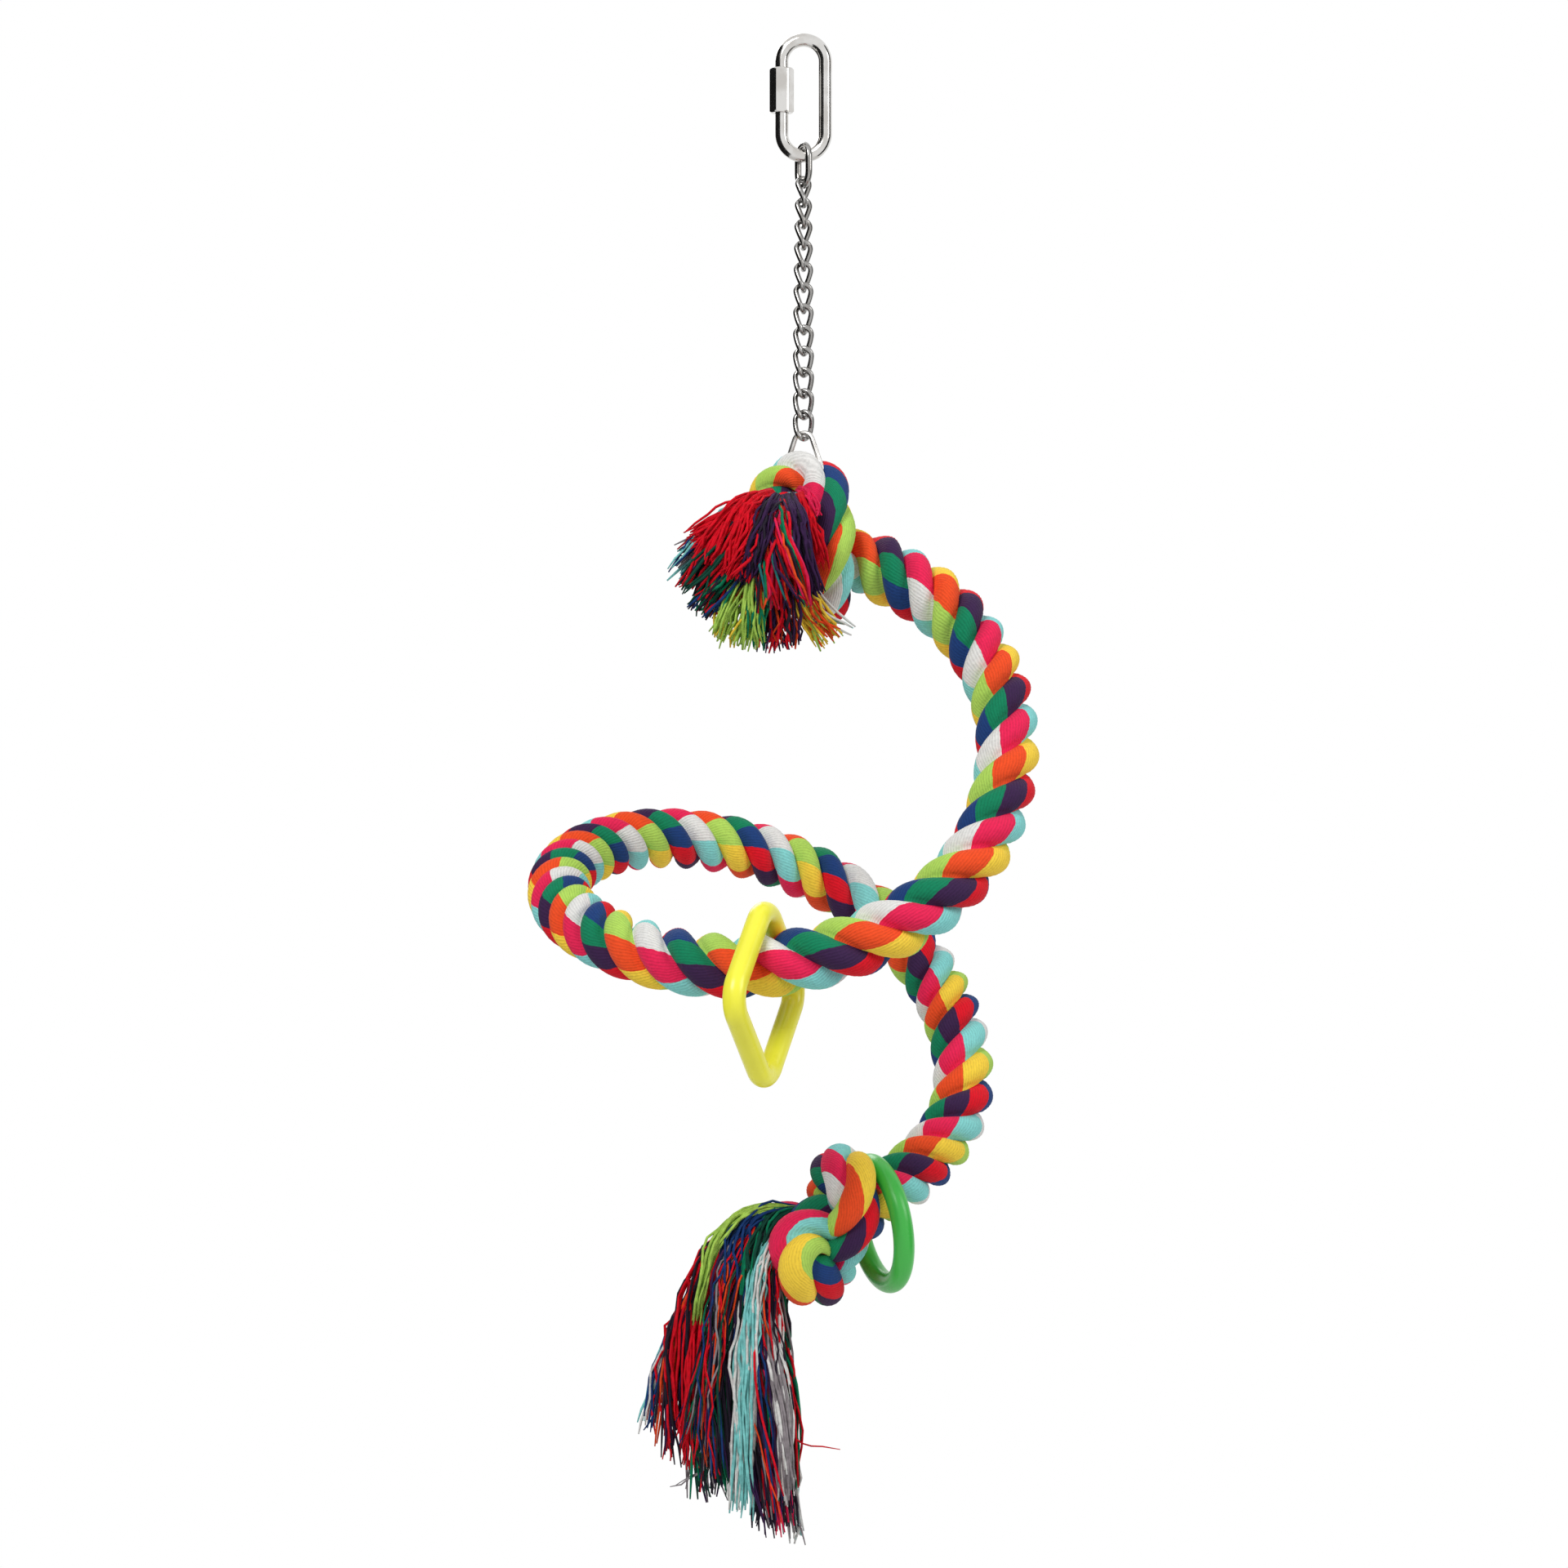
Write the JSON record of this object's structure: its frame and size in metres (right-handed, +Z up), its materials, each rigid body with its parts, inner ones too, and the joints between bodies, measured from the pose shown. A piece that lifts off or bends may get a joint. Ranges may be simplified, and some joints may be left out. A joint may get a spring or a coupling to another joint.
{
  "type": "hanging rope bird perch",
  "caption": "Spiral cotton-rope bird perch with knotted, frayed ends and plastic toy rings, hung on a short steel chain from a quick link.",
  "frame": {"origin": "the point inside the quick link's upper bow where a cage bar carries the perch", "axes": "+Z up along the chain, +X to the viewer's right, +Y away from the viewer"},
  "size_m": [0.194, 0.2239, 0.5673],
  "materials": {
    "hook_steel": "polished",
    "chain_steel": "polished",
    "core_wire": "satin",
    "cotton_rope": "matte",
    "cotton_yarn": "matte",
    "yellow_plastic": "gloss",
    "green_plastic": "gloss"
  },
  "bodies": {
    "quick_link": {"quick_link": "hook_steel"},
    "sleeve": {"quick_link_sleeve": "hook_steel"},
    "connecting_link": {"connecting_link": "chain_steel"},
    "chain_link_01": {"chain_link_01": "chain_steel"},
    "chain_link_02": {"chain_link_02": "chain_steel"},
    "chain_link_03": {"chain_link_03": "chain_steel"},
    "chain_link_04": {"chain_link_04": "chain_steel"},
    "chain_link_05": {"chain_link_05": "chain_steel"},
    "chain_link_06": {"chain_link_06": "chain_steel"},
    "chain_link_07": {"chain_link_07": "chain_steel"},
    "chain_link_08": {"chain_link_08": "chain_steel"},
    "chain_link_09": {"chain_link_09": "chain_steel"},
    "chain_link_10": {"chain_link_10": "chain_steel"},
    "chain_link_11": {"chain_link_11": "chain_steel"},
    "chain_link_12": {"chain_link_12": "chain_steel"},
    "perch": {"hanger_ring": "chain_steel", "rope_spiral": "cotton_rope", "wire_core": "core_wire", "top_knot": "cotton_rope", "bottom_knot": "cotton_rope", "top_tassel": "cotton_yarn", "bottom_tassel": "cotton_yarn"},
    "yellow_ring": {"yellow_ring": "yellow_plastic"},
    "green_ring": {"green_ring": "green_plastic"}
  },
  "joints": [
    {"name": "sleeve_slide", "type": "slide", "parent": "quick_link", "child": "sleeve", "axis": [0, 0, -1], "range_m": [0, 0.008]},
    {"name": "connecting_link_swing", "type": "hinge", "parent": "quick_link", "child": "connecting_link", "pos_m": [0, 0, -0.0415], "axis": [1, 0, 0], "range_deg": [-45, 45]},
    {"name": "chain_link_01_swing", "type": "hinge", "parent": "connecting_link", "child": "chain_link_01", "pos_m": [0, 0, -0.0527], "axis": [-0.3746, 0.9272, 0], "range_deg": [-45, 45]},
    {"name": "chain_link_02_swing", "type": "hinge", "parent": "chain_link_01", "child": "chain_link_02", "pos_m": [0, 0, -0.05815], "axis": [-0.9511, -0.309, 0], "range_deg": [-45, 45]},
    {"name": "chain_link_03_swing", "type": "hinge", "parent": "chain_link_02", "child": "chain_link_03", "pos_m": [0, 0, -0.0685], "axis": [0.309, -0.9511, 0], "range_deg": [-45, 45]},
    {"name": "chain_link_04_swing", "type": "hinge", "parent": "chain_link_03", "child": "chain_link_04", "pos_m": [0, 0, -0.07425], "axis": [0.9903, 0.1392, 0], "range_deg": [-45, 45]},
    {"name": "chain_link_05_swing", "type": "hinge", "parent": "chain_link_04", "child": "chain_link_05", "pos_m": [0, 0, -0.0846], "axis": [-0.1392, 0.9903, 0], "range_deg": [-45, 45]},
    {"name": "chain_link_06_swing", "type": "hinge", "parent": "chain_link_05", "child": "chain_link_06", "pos_m": [0, 0, -0.09035], "axis": [-0.9994, 0.0349, 0], "range_deg": [-45, 45]},
    {"name": "chain_link_07_swing", "type": "hinge", "parent": "chain_link_06", "child": "chain_link_07", "pos_m": [0, 0, -0.1007], "axis": [-0.0349, -0.9994, 0], "range_deg": [-45, 45]},
    {"name": "chain_link_08_swing", "type": "hinge", "parent": "chain_link_07", "child": "chain_link_08", "pos_m": [0, 0, -0.10645], "axis": [0.9781, -0.2079, 0], "range_deg": [-45, 45]},
    {"name": "chain_link_09_swing", "type": "hinge", "parent": "chain_link_08", "child": "chain_link_09", "pos_m": [0, 0, -0.1168], "axis": [0.2079, 0.9781, 0], "range_deg": [-45, 45]},
    {"name": "chain_link_10_swing", "type": "hinge", "parent": "chain_link_09", "child": "chain_link_10", "pos_m": [0, 0, -0.12255], "axis": [-0.9272, 0.3746, 0], "range_deg": [-45, 45]},
    {"name": "chain_link_11_swing", "type": "hinge", "parent": "chain_link_10", "child": "chain_link_11", "pos_m": [0, 0, -0.1329], "axis": [-0.3746, -0.9272, 0], "range_deg": [-45, 45]},
    {"name": "chain_link_12_swing", "type": "hinge", "parent": "chain_link_11", "child": "chain_link_12", "pos_m": [0, 0, -0.13865], "axis": [0.848, -0.5299, 0], "range_deg": [-45, 45]},
    {"name": "perch_swing", "type": "hinge", "parent": "chain_link_12", "child": "perch", "pos_m": [0, 0, -0.149], "axis": [0.5299, 0.848, 0], "range_deg": [-45, 45]},
    {"name": "yellow_ring_swing", "type": "hinge", "parent": "perch", "child": "yellow_ring", "pos_m": [-0.01442, -0.08452, -0.34515], "axis": [-0.9754, 0.1885, -0.1142], "range_deg": [-75, 75]},
    {"name": "green_ring_swing", "type": "hinge", "parent": "perch", "child": "green_ring", "pos_m": [0.02828, 0.01281, -0.44095], "axis": [-0.8819, -0.4473, -0.1487], "range_deg": [-60, 60]}
  ]
}
